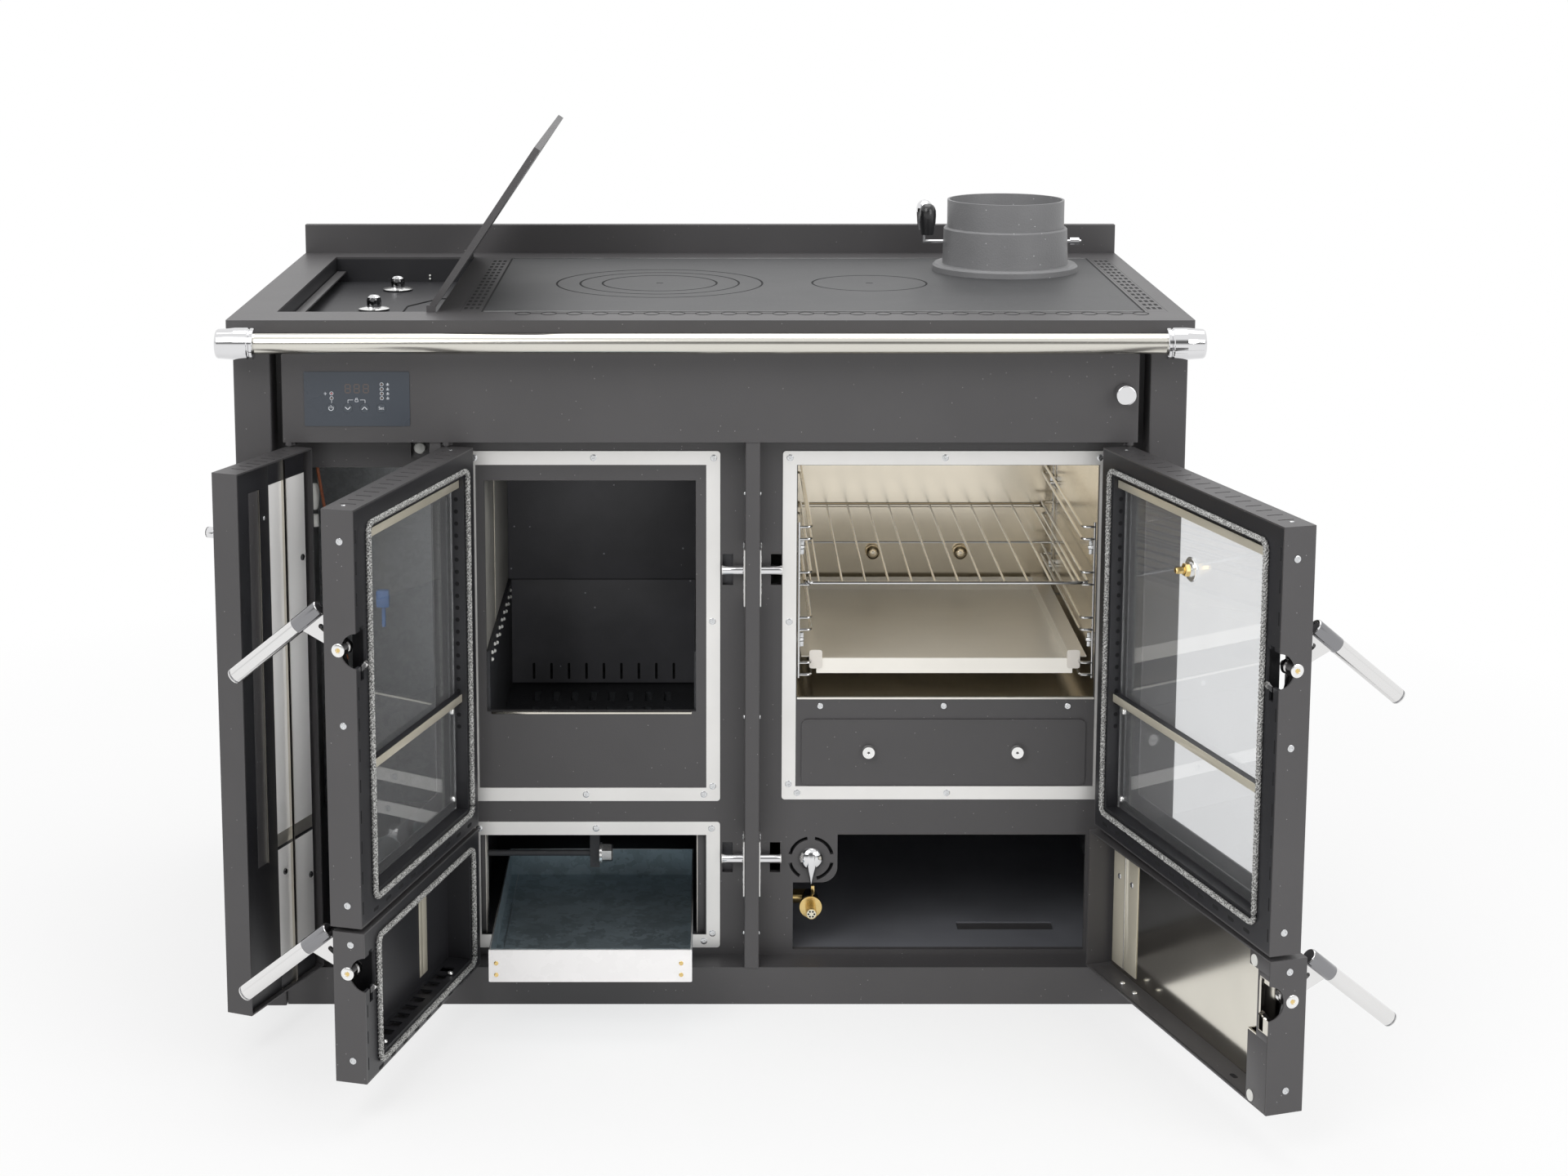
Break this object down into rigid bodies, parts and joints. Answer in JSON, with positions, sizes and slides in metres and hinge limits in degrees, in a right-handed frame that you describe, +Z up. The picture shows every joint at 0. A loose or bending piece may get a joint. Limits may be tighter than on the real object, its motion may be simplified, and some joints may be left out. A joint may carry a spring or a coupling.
{
  "type": "wood cookstove with boiler",
  "caption": "Wood-burning range cooker with water jacket: cast hob, flue collar, handrail, glazed fire and oven doors, ash and storage doors, lift-up side lid.",
  "frame": {"origin": "floor under the middle of the worktop", "axes": "+X right as seen from the front, the front towards -Y, +Z up"},
  "size_m": [1.3352, 1.0886, 1.0597],
  "materials": {
    "casing": "fine textured paint",
    "cast": "matt cast",
    "interior": "matt heat-proof paint",
    "stainless": "brushed",
    "chrome": "polished",
    "zinc": "galvanised",
    "glass": "clear ceramic glass",
    "rope": "braided",
    "brass": "turned",
    "panel": "gloss film"
  },
  "bodies": {
    "stove": {"back_panel": "zinc", "base_frame": "casing", "boiler_body": "interior", "control_panel": "panel", "cooking_plate": "cast", "divider_posts": "casing", "flue_collar": "cast", "front_fascia": "casing", "front_plate": "casing", "handrail": "stainless", "handrail_brackets": "chrome", "hearth_grate": "cast", "hearth_liner": "cast", "hinge_brackets": "casing", "hob_rings": "cast", "inspection_cover": "casing", "opening_frames": "stainless", "oven_box": "stainless", "oven_runners": "chrome", "side_panels": "casing", "storage_box": "interior", "striker_plates": "chrome", "utility_tray": "interior", "vent_strips": "casing", "water_fittings": "brass", "worktop_frame": "casing"},
    "left_door": {"left_door_shell": "casing", "left_door_liner": "stainless"},
    "fire_door": {"fire_door_shell": "casing", "fire_door_inner": "interior", "fire_door_glass": "glass", "fire_door_gasket": "rope"},
    "ash_door": {"ash_door_shell": "casing", "ash_door_inner": "interior", "ash_door_gasket": "rope"},
    "oven_door": {"oven_door_shell": "casing", "oven_door_inner": "interior", "oven_door_glass": "glass", "oven_door_gasket": "rope", "oven_thermometer": "brass"},
    "storage_door": {"storage_door_shell": "casing", "storage_door_inner": "stainless"},
    "fire_handle": {"fire_door_handle": "stainless"},
    "ash_handle": {"ash_door_handle": "stainless"},
    "oven_handle": {"oven_door_handle": "stainless"},
    "storage_handle": {"storage_door_handle": "stainless"},
    "ash_pan": {"ash_pan": "zinc"},
    "grate_lever": {"grate_lever": "interior"},
    "oven_rack": {"oven_rack": "chrome"},
    "oven_tray": {"oven_tray": "stainless"},
    "utility_lid": {"utility_lid": "casing"},
    "heating_valve_knob": {"heating_valve_knob": "chrome"},
    "water_valve_knob": {"water_valve_knob": "chrome"},
    "draft_knob": {"draft_knob": "chrome"},
    "bypass_rod": {"bypass_rod": "chrome"},
    "flue_damper": {"flue_damper": "chrome"},
    "panel_key_1": {"panel_key_1": "panel"},
    "panel_key_2": {"panel_key_2": "panel"},
    "panel_key_3": {"panel_key_3": "panel"},
    "panel_key_4": {"panel_key_4": "panel"}
  },
  "joints": [
    {"name": "left_door_hinge", "type": "hinge", "parent": "stove", "child": "left_door", "pos_m": [-0.505, -0.318, 0.3795], "axis": [0, 0, -1], "range_deg": [-112, 14]},
    {"name": "fire_door_hinge", "type": "hinge", "parent": "stove", "child": "fire_door", "pos_m": [-0.317, -0.318, 0.46975], "axis": [0, 0, -1], "range_deg": [-106, 14]},
    {"name": "ash_door_hinge", "type": "hinge", "parent": "stove", "child": "ash_door", "pos_m": [-0.317, -0.318, 0.1415], "axis": [0, 0, -1], "range_deg": [-105.6, 14]},
    {"name": "oven_door_hinge", "type": "hinge", "parent": "stove", "child": "oven_door", "pos_m": [0.503, -0.318, 0.46975], "axis": [0, 0, 1], "range_deg": [-106.7, 14]},
    {"name": "storage_door_hinge", "type": "hinge", "parent": "stove", "child": "storage_door", "pos_m": [0.503, -0.318, 0.1415], "axis": [0, 0, 1], "range_deg": [-107.8, 14]},
    {"name": "fire_handle_pivot", "type": "hinge", "parent": "fire_door", "child": "fire_handle", "pos_m": [-0.39826, -0.64674, 0.549], "axis": [0.2756, 0.9613, 0], "range_deg": [-50.6, 0]},
    {"name": "ash_handle_pivot", "type": "hinge", "parent": "ash_door", "child": "ash_handle", "pos_m": [-0.39596, -0.6473, 0.181], "axis": [0.2689, 0.9632, 0], "range_deg": [-50.6, 0]},
    {"name": "oven_handle_pivot", "type": "hinge", "parent": "oven_door", "child": "oven_handle", "pos_m": [0.61241, -0.72618, 0.549], "axis": [0.2874, -0.9578, 0], "range_deg": [-50.6, 0]},
    {"name": "storage_handle_pivot", "type": "hinge", "parent": "storage_door", "child": "storage_handle", "pos_m": [0.62022, -0.724, 0.181], "axis": [0.3057, -0.9521, 0], "range_deg": [-50.6, 0]},
    {"name": "utility_lid_hinge", "type": "hinge", "parent": "stove", "child": "utility_lid", "pos_m": [-0.338, 0.0035, 0.8643], "axis": [0, 1, 0], "range_deg": [-124, 0]},
    {"name": "flue_damper_turn", "type": "hinge", "parent": "stove", "child": "flue_damper", "pos_m": [0.3986, 0.129, 0.899], "axis": [-1, 0, 0], "range_deg": [0, 90]},
    {"name": "bypass_pull", "type": "slide", "parent": "stove", "child": "bypass_rod", "axis": [0, -1, 0], "range_m": [0, 0.06]},
    {"name": "draft_knob_turn", "type": "hinge", "parent": "stove", "child": "draft_knob", "pos_m": [0.1255, -0.2815, 0.1738], "axis": [0, -1, 0], "range_deg": [-50, 50]},
    {"name": "heating_valve_knob_turn", "type": "hinge", "parent": "stove", "child": "heating_valve_knob", "pos_m": [-0.439, -0.007, 0.835], "axis": [0, 0, 1], "range_deg": [-90, 90]},
    {"name": "water_valve_knob_turn", "type": "hinge", "parent": "stove", "child": "water_valve_knob", "pos_m": [-0.429, 0.178, 0.835], "axis": [0, 0, 1], "range_deg": [-90, 90]},
    {"name": "oven_rack_slide", "type": "slide", "parent": "stove", "child": "oven_rack", "axis": [0, -1, 0], "range_m": [0, 0.25]},
    {"name": "oven_tray_slide", "type": "slide", "parent": "stove", "child": "oven_tray", "axis": [0, -1, 0], "range_m": [0, 0.25]},
    {"name": "ash_pan_slide", "type": "slide", "parent": "stove", "child": "ash_pan", "axis": [0, -1, 0], "range_m": [-0.15, 0.022]},
    {"name": "grate_lever_rock", "type": "hinge", "parent": "stove", "child": "grate_lever", "pos_m": [-0.145, -0.2445, 0.17], "axis": [1, 0, 0], "range_deg": [-15, 15]},
    {"name": "panel_key_1_press", "type": "slide", "parent": "stove", "child": "panel_key_1", "axis": [0, 1, 0], "range_m": [0, 0.0006], "stiffness_N_per_m": 400},
    {"name": "panel_key_2_press", "type": "slide", "parent": "stove", "child": "panel_key_2", "axis": [0, 1, 0], "range_m": [0, 0.0006], "stiffness_N_per_m": 400},
    {"name": "panel_key_3_press", "type": "slide", "parent": "stove", "child": "panel_key_3", "axis": [0, 1, 0], "range_m": [0, 0.0006], "stiffness_N_per_m": 400},
    {"name": "panel_key_4_press", "type": "slide", "parent": "stove", "child": "panel_key_4", "axis": [0, 1, 0], "range_m": [0, 0.0006], "stiffness_N_per_m": 400}
  ],
  "couplings": [
    {"joint": "ash_pan_slide", "follows": "ash_door_hinge", "m_per_rad": 0.0803}
  ]
}
